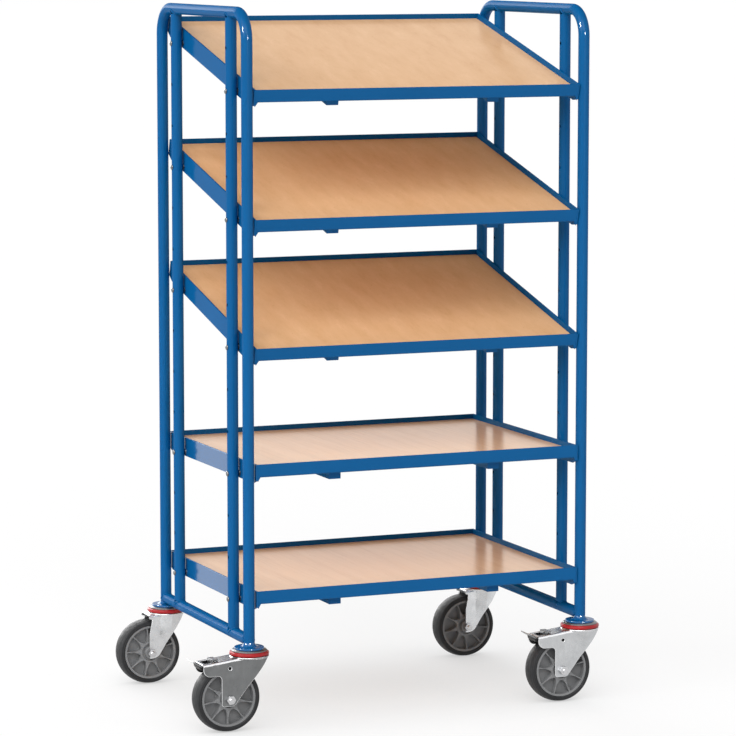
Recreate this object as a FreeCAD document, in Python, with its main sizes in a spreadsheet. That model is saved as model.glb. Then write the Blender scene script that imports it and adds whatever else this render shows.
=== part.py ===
import FreeCAD, Part
import math
import os
import Sketcher

# Shelf trolley for euro containers: two bent tube end frames, five bolted shelf trays and four
# swivel castors, the front two with a foot brake.
# Millimetres. The origin is on the floor at the middle of the plan, X to the right, Y to the rear, Z up.

SIZES = {
    # End frames: tube loops with drilled posts
    "frame_width": 862.0,
    "leg_proud": 0.5,
    "post_inset": 103.0,
    "tube_dia": 27.0,
    "tube_wall": 2.0,
    "bend_radius": 62.5,
    "rail_clearance": 1.0,
    "first_hole_rise": 81.0,
    "hole_pitch": 100.0,
    "hole_clearance": 0.5,
    "top_margin": 83.0,
    "weld_gap": 0.1,
    # Leg flanges
    "flange_dia": 71.0,
    "flange_thick": 4.5,
    "neck_radius": 8.0,
    "neck_gap": 0.5,
    "plug_height": 22.0,
    # Shelf trays, measured from the line through the bolts
    "shelf_depth": 608.0,
    "nut_clearance": 1.0,
    "side_drop": 10.5,
    "side_thick": 4.0,
    "side_chamfer_long": 22.0,
    "side_chamfer_high": 8.0,
    "rail_leg": 31.0,
    "rail_thick": 3.0,
    "rail_bend": 4.5,
    "gusset_width": 8.0,
    "gusset_drop": 10.0,
    "board_thick": 16.0,
    "board_gap": 0.5,
    "board_bevel": 1.5,
    "bar_width": 30.0,
    "bar_height": 22.0,
    "bar_wall": 1.5,
    "bar_spacing": 412.0,
    # Shelf fasteners
    "bolt_dia": 8.0,
    "bolt_head_dia": 13.0,
    "bolt_head_rim": 0.8,
    "bolt_head_dome": 2.6,
    "bolt_spare": 2.5,
    "bolt_clearance": 0.25,
    "nut_flats": 13.0,
    "nut_height": 6.5,
    "washer_dia": 17.0,
    "washer_thick": 1.5,
    "thread_gap": 0.05,
    # Castor heads
    "head_dia": 84.0,
    "head_thick": 4.8,
    "head_bevel": 5.0,
    "race_gap": 0.4,
    "seal_gap": 2.7,
    "seal_width": 12.6,
    "ball_dia": 9.4,
    "ball_circle_dia": 54.0,
    "sleeve_dia": 23.0,
    "king_dia": 12.0,
    "dish_dia": 40.0,
    "dish_thick": 4.0,
    "king_head_flats": 19.0,
    "king_head_height": 7.0,
    # Forks
    "wheel_gap": 14.4,
    "tyre_gap": 4.0,
    "sheet": 3.0,
    "crown_dia": 94.0,
    "crown_lip": 0.8,
    "shoulder_radius": 7.0,
    "bend_line": 28.0,
    "flare_rise": 20.0,
    "nose_half": 6.0,
    # Front forks, placed behind and ahead of the axle and under the crown
    "front_trail": 59.3,
    "housing_behind": 65.7,
    "front_drop": 11.2,
    "belly_depth": 40.4,
    "belly_radius": 18.0,
    "leg_behind": 20.7,
    "leg_root_radius": 9.0,
    "foot_drop": 16.5,
    "heel_radius": 7.0,
    "toe_ahead": 6.0,
    "toe_radius": 11.0,
    "front_nose_inset": 11.0,
    "cheek_hole_dia": 8.0,
    "cheek_hole_depth": 23.4,
    "window_length": 28.0,
    "window_width": 38.0,
    "window_inset": 7.5,
    # Rear forks, placed in the same way
    "rear_trail": 50.0,
    "tab_behind": 5.0,
    "rear_drop": 3.0,
    "tab_edge": 9.0,
    "tab_root_edge": 11.0,
    "tab_root_ahead": 3.0,
    "rear_foot_radius": 15.0,
    "rear_heel_rise": 3.0,
    "rear_toe_radius": 31.5,
    "rear_toe_ahead": 21.0,
    "rear_toe_rise": 8.0,
    "rear_nose_inset": 12.0,
    # Wheels
    "wheel_dia": 160.0,
    "tyre_width": 48.0,
    "tyre_height": 13.5,
    "tyre_crown": 2.2,
    "tyre_shoulder": 5.0,
    "rim_inset": 2.0,
    "rim_wall": 5.5,
    "web_thick": 8.0,
    "hub_dia": 52.0,
    "hub_ring": 5.0,
    "hub_core_dia": 30.0,
    "hub_recess": 5.0,
    "hub_end_gap": 0.5,
    "rib_width": 3.2,
    "rib_flare": 6.5,
    "rib_set_back": 2.0,
    "axle_dia": 12.0,
    "axle_flats": 19.0,
    "axle_head_height": 7.5,
    "axle_nut_height": 10.0,
    "axle_spare": 4.0,
    "axle_sleeve_dia": 16.0,
    "running_gap": 0.05,
    # Foot brakes, placed behind the axle and under the crown
    "pivot_behind": 26.0,
    "pivot_depth": 14.3,
    "pivot_dia": 4.0,
    "pivot_seat": 1.5,
    "barrel_dia": 7.0,
    "pedal_thick": 2.2,
    "pedal_gap": 6.0,
    "pedal_bend_gap": 0.5,
    "pedal_tip_length": 22.0,
    "pedal_tip_rise": 13.0,
    "lug_behind": 40.0,
    "lug_thick": 2.5,
    "lug_width": 34.0,
    "lug_length": 15.0,
    "lug_depth": 2.0,
    "shoe_gap": 7.5,
    "shoe_back_behind": 72.0,
    "shoe_toe_behind": 50.0,
    "shoe_front_behind": 43.0,
    "shoe_corner": 9.0,
    "shoe_inset": 1.5,
    # Rest turn of each wheel about its axle, in degrees
    "front_left_turn": 28.0,
    "front_right_turn": 13.0,
    "rear_left_turn": 17.0,
    "rear_right_turn": 33.0,
}

HOLE_COUNT = 14
RIB_COUNT = 9
BALL_COUNT = 12
# Holes from the top that carry each shelf, at the front and the rear post
SHELF_HOLES = [(2, 1), (5, 4), (8, 7), (11, 11), (14, 14)]
SIDES = {"left": -1, "right": 1}
ENDS = {"front": -1, "rear": 1}
# Slope of a front fork's leading edge, and how far a side view runs past the crown
RAKE = math.radians(50)
BORDER = 20.0

Vector = FreeCAD.Vector
X_AXIS = Vector(1, 0, 0)
Y_AXIS = Vector(0, 1, 0)
Z_AXIS = Vector(0, 0, 1)
HALF_TURN = FreeCAD.Rotation(Z_AXIS, 180)
# Sketch planes that stand free of a body: X to Y and Y to Z, and X to X and Y to Z
YZ_TURN = FreeCAD.Rotation(Vector(1, 1, 1), 120)
XZ_TURN = FreeCAD.Rotation(X_AXIS, 90)

doc = FreeCAD.newDocument("euro_container_trolley")
sheet = doc.addObject("Spreadsheet::Sheet", "sizes")
subparts = []


class Size:
    """A size as a number and as the cell expression that gives it."""

    def __init__(self, text, value):
        self.text = text
        self.value = value

    def joined(self, sign, other, value):
        return Size(f"({self.text} {sign} {other.text})", value)

    def __add__(self, other):
        other = as_size(other)
        return self.joined("+", other, self.value + other.value)

    def __sub__(self, other):
        other = as_size(other)
        return self.joined("-", other, self.value - other.value)

    def __mul__(self, other):
        other = as_size(other)
        return self.joined("*", other, self.value * other.value)

    def __truediv__(self, other):
        other = as_size(other)
        return self.joined("/", other, self.value / other.value)

    def __neg__(self):
        return Size(f"(-1 * {self.text})", -self.value)

    def __rmul__(self, other):
        return as_size(other) * self


def as_size(size):
    return size if isinstance(size, Size) else Size(repr(float(size)), float(size))


def cell(alias):
    return Size(f"sizes.{alias}", SIZES[alias])


def root_of(size):
    return Size(f"sqrt({size.text})", math.sqrt(size.value))


def diagonal_of(first, second):
    return root_of(first * first + second * second)


def slope_of(rise, run):
    return Size(f"atan({rise.text} / {run.text})", math.degrees(math.atan(rise.value / run.value)))


def fill_sheet():
    for row, (alias, value) in enumerate(SIZES.items(), start=1):
        sheet.set(f"A{row}", alias)
        sheet.set(f"B{row}", str(value))
        sheet.setAlias(f"B{row}", alias)
    doc.recompute()


fill_sheet()

# Sizes that follow from the sheet, from the floor up
axle_height = cell("wheel_dia") / 2
cheek_half = cell("tyre_width") / 2 + cell("tyre_gap")
cheek_outer = cheek_half + cell("sheet")
crown_foot = cell("wheel_dia") + cell("wheel_gap")
crown_top = crown_foot + cell("sheet")
castor_height = crown_top + cell("race_gap") + cell("ball_dia") + cell("head_thick")
rim_dia = cell("wheel_dia") - 2 * cell("tyre_height")
rim_width = cell("tyre_width") - 2 * cell("rim_inset")

frame_half = cell("frame_width") / 2
depth_half = cell("shelf_depth") / 2
tube_radius = cell("tube_dia") / 2
bore_radius = tube_radius - cell("tube_wall")
cope_dia = cell("tube_dia") + 2 * cell("weld_gap")
leg_half = depth_half + cell("leg_proud") - tube_radius
post_half = leg_half - cell("post_inset")
leg_foot = castor_height + cell("flange_thick")
rail_height = leg_foot + tube_radius + cell("rail_clearance")
post_rise = cell("first_hole_rise") + (HOLE_COUNT - 1) * cell("hole_pitch") + cell("top_margin")
loop_rise = rail_height + post_rise - leg_foot
lowest_hole = rail_height + cell("first_hole_rise")

shelf_half = frame_half - tube_radius - cell("washer_thick")
tray_half = shelf_half - cell("side_thick")
board_foot = cell("nut_flats") / 2 + cell("nut_clearance")
rail_foot = board_foot - cell("rail_thick")
rim_top = rail_foot + cell("rail_leg")
tilted_half = diagonal_of(post_half, cell("hole_pitch") / 2)

# The brake's pivot and the underside of its pedal, from the swivel axis and the floor
pivot_x = -(cell("front_trail") + cell("pivot_behind"))
pivot_height = crown_top - cell("pivot_depth")
pedal_under = pivot_height - cell("barrel_dia") / 2
pedal_width = 2 * (cheek_half - cell("pedal_gap"))
pedal_bend = -(cell("front_trail") + cell("housing_behind") + cell("pedal_bend_gap"))
pedal_slope = cell("pedal_tip_rise") / cell("pedal_tip_length")


def bind(target, name, size):
    target.setExpression(name, as_size(size).text)


def place(piece, x=0, y=0, z=0, turn=FreeCAD.Rotation()):
    piece.Placement = FreeCAD.Placement(Vector(), turn)
    for axis, size in zip("xyz", (x, y, z)):
        bind(piece, f"Placement.Base.{axis}", size)


def keep(piece, label):
    piece.Label = label
    subparts.append(piece)
    return piece


# Sketches

def sketch_in(body, plane, offset=0):
    """A sketch on one of a body's own origin planes, moved along the plane's normal."""
    support = next(f for f in body.Origin.OriginFeatures if f.Role == plane)
    sketch = body.newObject("Sketcher::SketchObject", "Sketch")
    sketch.AttachmentSupport = [(support, "")]
    sketch.MapMode = "FlatFace"
    bind(sketch, "AttachmentOffset.Base.z", offset)
    return sketch


def free_sketch(turn, x=0, y=0, z=0):
    sketch = doc.addObject("Sketcher::SketchObject", "Sketch")
    place(sketch, x, y, z, turn)
    return sketch


def constrain(sketch, size, *constraint):
    index = sketch.addConstraint(Sketcher.Constraint(*constraint, size.value))
    sketch.setExpression(f"Constraints[{index}]", size.text)


def fix_point(sketch, geometry, end, x, y):
    constrain(sketch, as_size(x), "DistanceX", -1, 1, geometry, end)
    constrain(sketch, as_size(y), "DistanceY", -1, 1, geometry, end)


def arc_between(start, end, radius):
    """The shorter arc from start to end: it turns left for a radius over 0, right for one under 0."""
    chord = end - start
    middle = (start + end) * 0.5
    reach = math.sqrt(max(radius * radius - chord.Length * chord.Length / 4, 0.0))
    left = Vector(-chord.y, chord.x, 0).normalize()
    centre = middle + left * math.copysign(reach, radius)
    first, last = (start, end) if radius > 0 else (end, start)
    angles = [math.atan2(p.y - centre.y, p.x - centre.x) for p in (first, last)]
    return Part.ArcOfCircle(Part.Circle(centre, Z_AXIS, abs(radius)), *angles)


def trace(sketch, corners, closed=True):
    """Draws lines through (x, y) corners. A third item is the radius of the arc that leads there."""
    corners = [tuple(as_size(item) for item in corner) for corner in corners]
    points = [Vector(corner[0].value, corner[1].value, 0) for corner in corners]
    count = len(corners)
    ends = []
    for index in range(count if closed else count - 1):
        following = (index + 1) % count
        if len(corners[following]) == 2:
            line = Part.LineSegment(points[index], points[following])
            ends.append((sketch.addGeometry(line), 1, 2))
            continue
        radius = corners[following][2]
        geometry = sketch.addGeometry(arc_between(points[index], points[following], radius.value))
        turns_left = radius.value > 0
        ends.append((geometry, 1, 2) if turns_left else (geometry, 2, 1))
        constrain(sketch, radius if turns_left else -radius, "Radius", geometry)
    for index, (geometry, start, end) in enumerate(ends):
        fix_point(sketch, geometry, start, *corners[index][:2])
        if closed or index + 1 < len(ends):
            neighbour = ends[(index + 1) % len(ends)]
            sketch.addConstraint(Sketcher.Constraint("Coincident", geometry, end, neighbour[0], neighbour[1]))
        else:
            fix_point(sketch, geometry, end, *corners[-1][:2])
    return sketch


def circle(sketch, dia, x=0, y=0):
    x, y = as_size(x), as_size(y)
    round_edge = Part.Circle(Vector(x.value, y.value, 0), Z_AXIS, dia.value / 2)
    geometry = sketch.addGeometry(round_edge)
    constrain(sketch, dia, "Diameter", geometry)
    fix_point(sketch, geometry, 3, x, y)
    return sketch


def hexagon(sketch, flats):
    corner = flats / math.sqrt(3)
    angles = [math.radians(60 * step) for step in range(6)]
    return trace(sketch, [(corner * math.cos(a), corner * math.sin(a)) for a in angles])


def slot(sketch, x, y, run, width):
    """A round ended slot along the sketch's x, with its arc centres a run apart."""
    half = width / 2
    left, right = x - run / 2, x + run / 2
    arcs = []
    for centre, angle in ((left, math.pi / 2), (right, -math.pi / 2)):
        round_end = Part.Circle(Vector(centre.value, y.value, 0), Z_AXIS, half.value)
        arcs.append(sketch.addGeometry(Part.ArcOfCircle(round_end, angle, angle + math.pi)))
        fix_point(sketch, arcs[-1], 3, centre, y)
    constrain(sketch, half, "Radius", arcs[0])
    sketch.addConstraint(Sketcher.Constraint("Equal", *arcs))
    for level, first, last in ((half.value, 1, 2), (-half.value, 2, 1)):
        start = Vector(left.value, y.value + level, 0)
        end = Vector(right.value, y.value + level, 0)
        line = sketch.addGeometry(Part.LineSegment(start, end))
        sketch.addConstraint(Sketcher.Constraint("Tangent", line, 1, arcs[0], first))
        sketch.addConstraint(Sketcher.Constraint("Tangent", line, 2, arcs[1], last))
    return sketch


# Features

def new_body(label):
    body = doc.addObject("PartDesign::Body", label)
    body.Label = label
    return body


def pad(body, sketch, length, symmetric=False, reverse=False):
    feature = body.newObject("PartDesign::Pad", "Pad")
    feature.Profile = sketch
    feature.SideType = "Symmetric" if symmetric else "One side"
    feature.Reversed = reverse
    bind(feature, "Length", length)
    return feature


def pocket(body, sketch, length, symmetric=False):
    doc.recompute()
    before = body.Shape.Volume
    feature = body.newObject("PartDesign::Pocket", "Pocket")
    feature.Profile = sketch
    feature.SideType = "Symmetric" if symmetric else "One side"
    bind(feature, "Length", length)
    doc.recompute()
    if body.Shape.Volume >= before:
        raise RuntimeError(f"the cut in {body.Label} removes nothing")
    return feature


def revolve(body, sketch, axis):
    feature = body.newObject("PartDesign::Revolution", "Revolution")
    feature.Profile = sketch
    feature.ReferenceAxis = (sketch, [axis])
    feature.Angle = 360
    return feature


def origin_axis(body, role):
    return next(f for f in body.Origin.OriginFeatures if f.Role == role)


def part(kind, **links):
    feature = doc.addObject(f"Part::{kind}", kind)
    for name, value in links.items():
        setattr(feature, name, value)
    return feature


def rod(dia, length, x=0, y=0, z=0, turn=FreeCAD.Rotation()):
    feature = part("Cylinder")
    bind(feature, "Radius", dia / 2)
    bind(feature, "Height", length)
    place(feature, x, y, z, turn)
    return feature


def cross_rod(dia, length, x, z):
    """A cylinder across the castor, along Y and even about its middle."""
    return rod(dia, length, x, length / 2, z, XZ_TURN)


def block(x, y, z, length, width, height):
    feature = part("Box")
    for name, size in (("Length", length), ("Width", width), ("Height", height)):
        bind(feature, name, size)
    place(feature, x, y, z)
    return feature


def extrusion(sketch, direction, length, symmetric=False):
    return part("Extrusion", Base=sketch, DirMode="Custom", Dir=direction, Solid=True, Symmetric=symmetric,
                LengthFwd=length)


def copy_of(master, x=0, y=0, z=0, turn=FreeCAD.Rotation()):
    link = doc.addObject("App::Link", f"{master.Name}_copy")
    link.LinkedObject = master
    place(link, x, y, z, turn)
    return link


def group(pieces, label=None):
    compound = part("Compound", Links=pieces)
    return keep(compound, label) if label else compound


# End frames

def end_loop(label, side):
    """One tube bent to an upside-down U: front leg, top and rear leg."""
    loop = new_body(label)
    ring = sketch_in(loop, "XY_Plane")
    circle(ring, cell("tube_dia"), y=-leg_half)
    circle(ring, 2 * bore_radius, y=-leg_half)
    bend = cell("bend_radius")
    route = [
        (-leg_half, 0),
        (-leg_half, loop_rise - bend),
        (-leg_half + bend, loop_rise, -bend),
        (leg_half - bend, loop_rise),
        (leg_half, loop_rise - bend, -bend),
        (leg_half, 0),
    ]
    spine = trace(sketch_in(loop, "YZ_Plane"), route, closed=False)
    pipe = loop.newObject("PartDesign::AdditivePipe", "Pipe")
    pipe.Profile = ring
    pipe.Spine = spine
    place(loop, side * frame_half, 0, leg_foot)
    keep(loop, label)


def bottom_rail(label, side):
    """A tube from leg to leg, its ends coped to the legs."""
    rail = new_body(label)
    ring = sketch_in(rail, "XZ_Plane")
    circle(ring, cell("tube_dia"))
    circle(ring, 2 * bore_radius)
    pad(rail, ring, 2 * leg_half, symmetric=True)
    copes = sketch_in(rail, "XY_Plane")
    circle(copes, cope_dia, y=-leg_half)
    circle(copes, cope_dia, y=leg_half)
    pocket(rail, copes, 2 * cell("tube_dia"), symmetric=True)
    place(rail, side * frame_half, 0, rail_height)
    keep(rail, label)


def shelf_post(label, side, end):
    """A tube between rail and loop, coped at both ends and drilled through for the shelf bolts."""
    post = new_body(label)
    ring = sketch_in(post, "XY_Plane")
    circle(ring, cell("tube_dia"))
    circle(ring, 2 * bore_radius)
    pad(post, ring, post_rise)
    copes = sketch_in(post, "XZ_Plane")
    circle(copes, cope_dia)
    circle(copes, cope_dia, y=post_rise)
    pocket(post, copes, 2 * cell("tube_dia"), symmetric=True)
    hole_dia = cell("bolt_dia") + 2 * cell("hole_clearance")
    hole = circle(sketch_in(post, "YZ_Plane"), hole_dia, y=cell("first_hole_rise"))
    drilling = pocket(post, hole, 2 * cell("tube_dia"), symmetric=True)
    row = post.newObject("PartDesign::LinearPattern", "Row")
    row.Originals = [drilling]
    row.Direction = (origin_axis(post, "Z_Axis"), [""])
    row.Mode = "Spacing"
    row.Occurrences = HOLE_COUNT
    bind(row, "Offset", cell("hole_pitch"))
    post.Tip = row
    place(post, side * frame_half, end * post_half, rail_height)
    keep(post, label)


def leg_flange():
    """A disc with a neck round the leg's foot and a tapped plug inside it, cut away for the rail."""
    flange = new_body("leg_flange")
    tap_radius = cell("king_dia") / 2 + cell("thread_gap")
    plug_radius = bore_radius - cell("weld_gap")
    neck_inner = tube_radius + cell("weld_gap")
    top = cell("flange_thick")
    neck = cell("neck_radius")
    profile = [
        (tap_radius, 0),
        (cell("flange_dia") / 2, 0),
        (cell("flange_dia") / 2, top),
        (neck_inner + neck, top),
        (neck_inner, top + neck, -neck),
        (neck_inner, top),
        (tap_radius, top),
    ]
    revolve(flange, trace(sketch_in(flange, "XZ_Plane"), profile), "V_Axis")
    rail_axis = rail_height - castor_height
    rail_end = sketch_in(flange, "XZ_Plane")
    circle(rail_end, cell("tube_dia") + 2 * cell("neck_gap"), y=rail_axis)
    pocket(flange, rail_end, cell("flange_dia"))
    plug = sketch_in(flange, "XY_Plane", top)
    circle(plug, 2 * plug_radius)
    circle(plug, 2 * tap_radius)
    pad(flange, plug, cell("plug_height"))
    return flange


# Shelves

def shelf_rail():
    """The front rail of a tray: a folded angle whose ends carry a small gusset below the bend."""
    rail = new_body("shelf_rail")
    front, foot = -depth_half, rail_foot
    thick, bend, leg = cell("rail_thick"), cell("rail_bend"), cell("rail_leg")
    profile = [
        (front, rim_top),
        (front, foot + bend),
        (front + bend, foot, bend),
        (front + leg, foot),
        (front + leg, foot + thick),
        (front + bend, foot + thick),
        (front + thick, foot + bend, thick - bend),
        (front + thick, rim_top),
    ]
    pad(rail, trace(sketch_in(rail, "YZ_Plane"), profile), 2 * tray_half, symmetric=True)
    gussets = sketch_in(rail, "XZ_Plane", depth_half)
    for side in SIDES.values():
        corners = [
            (side * tray_half, foot + bend),
            (side * (tray_half - cell("gusset_width")), foot + bend),
            (side * tray_half, foot - cell("gusset_drop")),
        ]
        trace(gussets, corners)
    pad(rail, gussets, thick, reverse=True)
    return rail


def shelf_side():
    """A tray's side plate with one slot for each bolt, so that the tray bolts on level or tilted."""
    plate = new_body("shelf_side")
    drop = -cell("side_drop")
    corner = drop + cell("side_chamfer_high")
    flat = depth_half - cell("side_chamfer_long")
    outline = [
        (-depth_half, rim_top),
        (-depth_half, corner),
        (-flat, drop),
        (flat, drop),
        (depth_half, corner),
        (depth_half, rim_top),
    ]
    pad(plate, trace(sketch_in(plate, "YZ_Plane"), outline), cell("side_thick"), symmetric=True)
    width = cell("bolt_dia") + 2 * cell("bolt_clearance")
    middle = (post_half + tilted_half) / 2
    run = tilted_half - post_half + 2 * cell("bolt_clearance")
    slots = sketch_in(plate, "YZ_Plane")
    for end in ENDS.values():
        slot(slots, end * middle, as_size(0), run, width)
    pocket(plate, slots, 2 * cell("side_thick"), symmetric=True)
    return plate


def shelf_board():
    """The board on the rails' lower legs and the crossbars, bevelled below to clear the rails' bends."""
    board = new_body("shelf_board")
    half = depth_half - cell("rail_thick") - cell("board_gap")
    bevel = cell("board_bevel")
    profile = [
        (bevel - half, board_foot),
        (half - bevel, board_foot),
        (half, board_foot + bevel),
        (half, board_foot + cell("board_thick")),
        (-half, board_foot + cell("board_thick")),
        (-half, board_foot + bevel),
    ]
    length = 2 * (tray_half - cell("board_gap"))
    pad(board, trace(sketch_in(board, "YZ_Plane"), profile), length, symmetric=True)
    return board


def shelf_crossbar():
    """A folded trough between the rails' lower legs, with closed ends and open below the board."""
    bar = new_body("shelf_crossbar")
    wall, height = cell("bar_wall"), cell("bar_height")
    plans = []
    for inset in (as_size(0), wall):
        across = cell("bar_width") / 2 - inset
        along = depth_half - cell("rail_leg") - inset
        corners = [(-across, -along), (across, -along), (across, along), (-across, along)]
        plans.append(trace(sketch_in(bar, "XY_Plane", board_foot), corners))
    pad(bar, plans[0], height, reverse=True)
    pocket(bar, plans[1], height - wall)
    return bar


def hole_height(number):
    """Height of a post hole, counted from the top."""
    return lowest_hole + (HOLE_COUNT - number) * cell("hole_pitch")


def set_on_bolts(piece, front_hole, rear_hole):
    """Puts a tray piece on its bolts: halfway between the two holes, tilted from one to the other."""
    front, rear = hole_height(front_hole), hole_height(rear_hole)
    tilt = slope_of(rear - front, 2 * post_half)
    place(piece, 0, 0, (front + rear) / 2, FreeCAD.Rotation(X_AXIS, tilt.value))
    if rear_hole != front_hole:
        bind(piece, "Placement.Rotation.Angle", tilt)


def shelves():
    rail, plate, bar = shelf_rail(), shelf_side(), shelf_crossbar()
    rails = [copy_of(rail), copy_of(rail, turn=HALF_TURN)]
    plate_middle = shelf_half - cell("side_thick") / 2
    plates = [copy_of(plate, x=side * plate_middle) for side in SIDES.values()]
    bars = [copy_of(bar, x=side * cell("bar_spacing") / 2) for side in SIDES.values()]
    bar_pairs = []
    for number, holes in enumerate(SHELF_HOLES, start=1):
        set_on_bolts(group(rails, f"shelf_{number}_rails"), *holes)
        set_on_bolts(group(plates, f"shelf_{number}_sides"), *holes)
        set_on_bolts(keep(shelf_board(), f"shelf_{number}_board"), *holes)
        bar_pairs.append(group(bars))
        set_on_bolts(bar_pairs[-1], *holes)
    group(bar_pairs, "shelf_crossbars")


def shelf_bolt():
    """A round head bolt along X, with its head's seat at the origin."""
    bolt = new_body("shelf_bolt")
    head, rim, dome = cell("bolt_head_dia") / 2, cell("bolt_head_rim"), cell("bolt_head_dome")
    radius = cell("bolt_dia") / 2
    stack = [cell(name) for name in ("tube_dia", "washer_thick", "side_thick", "nut_height", "bolt_spare")]
    length = stack[0]
    for piece in stack[1:]:
        length = length + piece
    profile = [
        (-rim - dome, 0, (head * head + dome * dome) / (2 * dome)),
        (length, 0),
        (length, radius),
        (0, radius),
        (0, head),
        (-rim, head),
    ]
    revolve(bolt, trace(sketch_in(bolt, "XZ_Plane"), profile), "H_Axis")
    return bolt


def ring_along_x(label, outer, bore, thick):
    ring = new_body(label)
    section = sketch_in(ring, "YZ_Plane")
    circle(section, outer)
    circle(section, bore)
    pad(ring, section, thick)
    return ring


def shelf_nut():
    nut = new_body("shelf_nut")
    section = hexagon(sketch_in(nut, "YZ_Plane"), cell("nut_flats"))
    circle(section, cell("bolt_dia") + 2 * cell("thread_gap"))
    pad(nut, section, cell("nut_height"))
    return nut


def shelf_fasteners():
    """Bolts through the posts, washers between post and plate, nuts inside the plates."""
    washer_bore = cell("bolt_dia") + 2 * cell("bolt_clearance")
    washer = ring_along_x("shelf_washer", cell("washer_dia"), washer_bore, cell("washer_thick"))
    seats = {
        "shelf_bolts": (shelf_bolt(), frame_half + tube_radius),
        "shelf_washers": (washer, frame_half - tube_radius),
        "shelf_nuts": (shelf_nut(), tray_half),
    }
    for label, (master, seat) in seats.items():
        pieces = []
        for side in SIDES.values():
            turn = HALF_TURN if side > 0 else FreeCAD.Rotation()
            for holes in SHELF_HOLES:
                for end, number in zip(ENDS.values(), holes):
                    pieces.append(copy_of(master, side * seat, end * post_half, hole_height(number), turn))
        group(pieces, label)


# Castor heads, with their origin on the swivel axis at the top of the head plate

def head_plate():
    """The fixed head of a castor: a bevelled disc with the sleeve that the fork swivels round."""
    plate = new_body("castor_head_plate")
    bore = cell("king_dia") / 2 + cell("running_gap")
    outer, bevel, thick = cell("head_dia") / 2, cell("head_bevel"), cell("head_thick")
    sleeve = cell("sleeve_dia") / 2
    sleeve_foot = crown_foot - cell("race_gap") - castor_height
    profile = [
        (bore, sleeve_foot),
        (sleeve, sleeve_foot),
        (sleeve, -thick),
        (outer - bevel / 2, -thick),
        (outer, -thick + bevel / 2, bevel / 2),
        (outer - bevel, 0, bevel),
        (bore, 0),
    ]
    revolve(plate, trace(sketch_in(plate, "XZ_Plane"), profile), "V_Axis")
    return plate


def swivel_seal():
    """The soft dust seal round the balls, with a rounded outer lip."""
    seal = new_body("swivel_seal")
    lip = cell("ball_dia") / 2
    inner = (cell("ball_circle_dia") + cell("ball_dia")) / 2 + cell("seal_gap")
    flat = inner + cell("seal_width") - lip
    top = -cell("head_thick")
    foot = top - cell("ball_dia")
    profile = [
        (inner, foot),
        (flat, foot),
        (flat + lip, foot + lip, lip),
        (flat, top, lip),
        (inner, top),
    ]
    revolve(seal, trace(sketch_in(seal, "XZ_Plane"), profile), "V_Axis")
    return seal


def king_bolt():
    """The bolt that carries the fork on its dish and screws up into the leg's plug."""
    bolt = new_body("king_bolt")
    shank, dish = cell("king_dia") / 2, cell("dish_dia") / 2
    dish_top = crown_foot - cell("race_gap") - castor_height
    dish_foot = dish_top - cell("dish_thick")
    tip = cell("flange_thick") + cell("plug_height") - cell("bolt_spare")
    profile = [
        (0, dish_foot),
        (dish, dish_foot),
        (dish, dish_top),
        (shank, dish_top),
        (shank, tip),
        (0, tip),
    ]
    revolve(bolt, trace(sketch_in(bolt, "XZ_Plane"), profile), "V_Axis")
    head = hexagon(sketch_in(bolt, "XY_Plane", dish_foot), cell("king_head_flats"))
    pad(bolt, head, cell("king_head_height"), reverse=True)
    return bolt


def ball_ring():
    """The ring of balls between head plate and fork."""
    pieces = []
    circle_radius = cell("ball_circle_dia") / 2
    for step in range(BALL_COUNT):
        angle = 2 * math.pi * step / BALL_COUNT
        ball = part("Sphere")
        bind(ball, "Radius", cell("ball_dia") / 2)
        height = -cell("head_thick") - cell("ball_dia") / 2
        place(ball, circle_radius * math.cos(angle), circle_radius * math.sin(angle), height)
        pieces.append(ball)
    return group(pieces)


def castor_heads():
    masters = {
        "leg_flanges": leg_flange(),
        "castor_head_plates": head_plate(),
        "swivel_seals": swivel_seal(),
        "king_bolts": king_bolt(),
        "swivel_balls": ball_ring(),
    }
    for label, master in masters.items():
        pieces = []
        for side in SIDES.values():
            for end in ENDS.values():
                turn = HALF_TURN if end > 0 else FreeCAD.Rotation()
                pieces.append(copy_of(master, side * frame_half, end * leg_half, castor_height, turn))
        group(pieces, label)


# Forks and wheels, with their origin on the swivel axis at the floor; the wheel trails towards -X

def front_fork_outline():
    """Side view of a braked fork: long housing over the wheel, straight legs, raked leading edge."""
    axle = -cell("front_trail")
    reach = axle - cell("housing_behind")
    belly, belly_radius = crown_top - cell("belly_depth"), cell("belly_radius")
    leg_back, leg_root = axle - cell("leg_behind"), cell("leg_root_radius")
    foot, heel = axle_height - cell("foot_drop"), cell("heel_radius")
    toe, toe_radius = axle + cell("toe_ahead"), cell("toe_radius")
    nose = cell("crown_dia") / 2 - cell("front_nose_inset")
    return [
        (reach, crown_top + BORDER),
        (reach, belly + belly_radius),
        (reach + belly_radius, belly, belly_radius),
        (leg_back - leg_root, belly),
        (leg_back, belly - leg_root, -leg_root),
        (leg_back, foot + heel),
        (leg_back + heel, foot, heel),
        (toe, foot),
        (toe + toe_radius * math.sin(RAKE), foot + toe_radius * (1 - math.cos(RAKE)), toe_radius),
        (nose, crown_foot),
        (nose, crown_top + BORDER),
    ]


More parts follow.
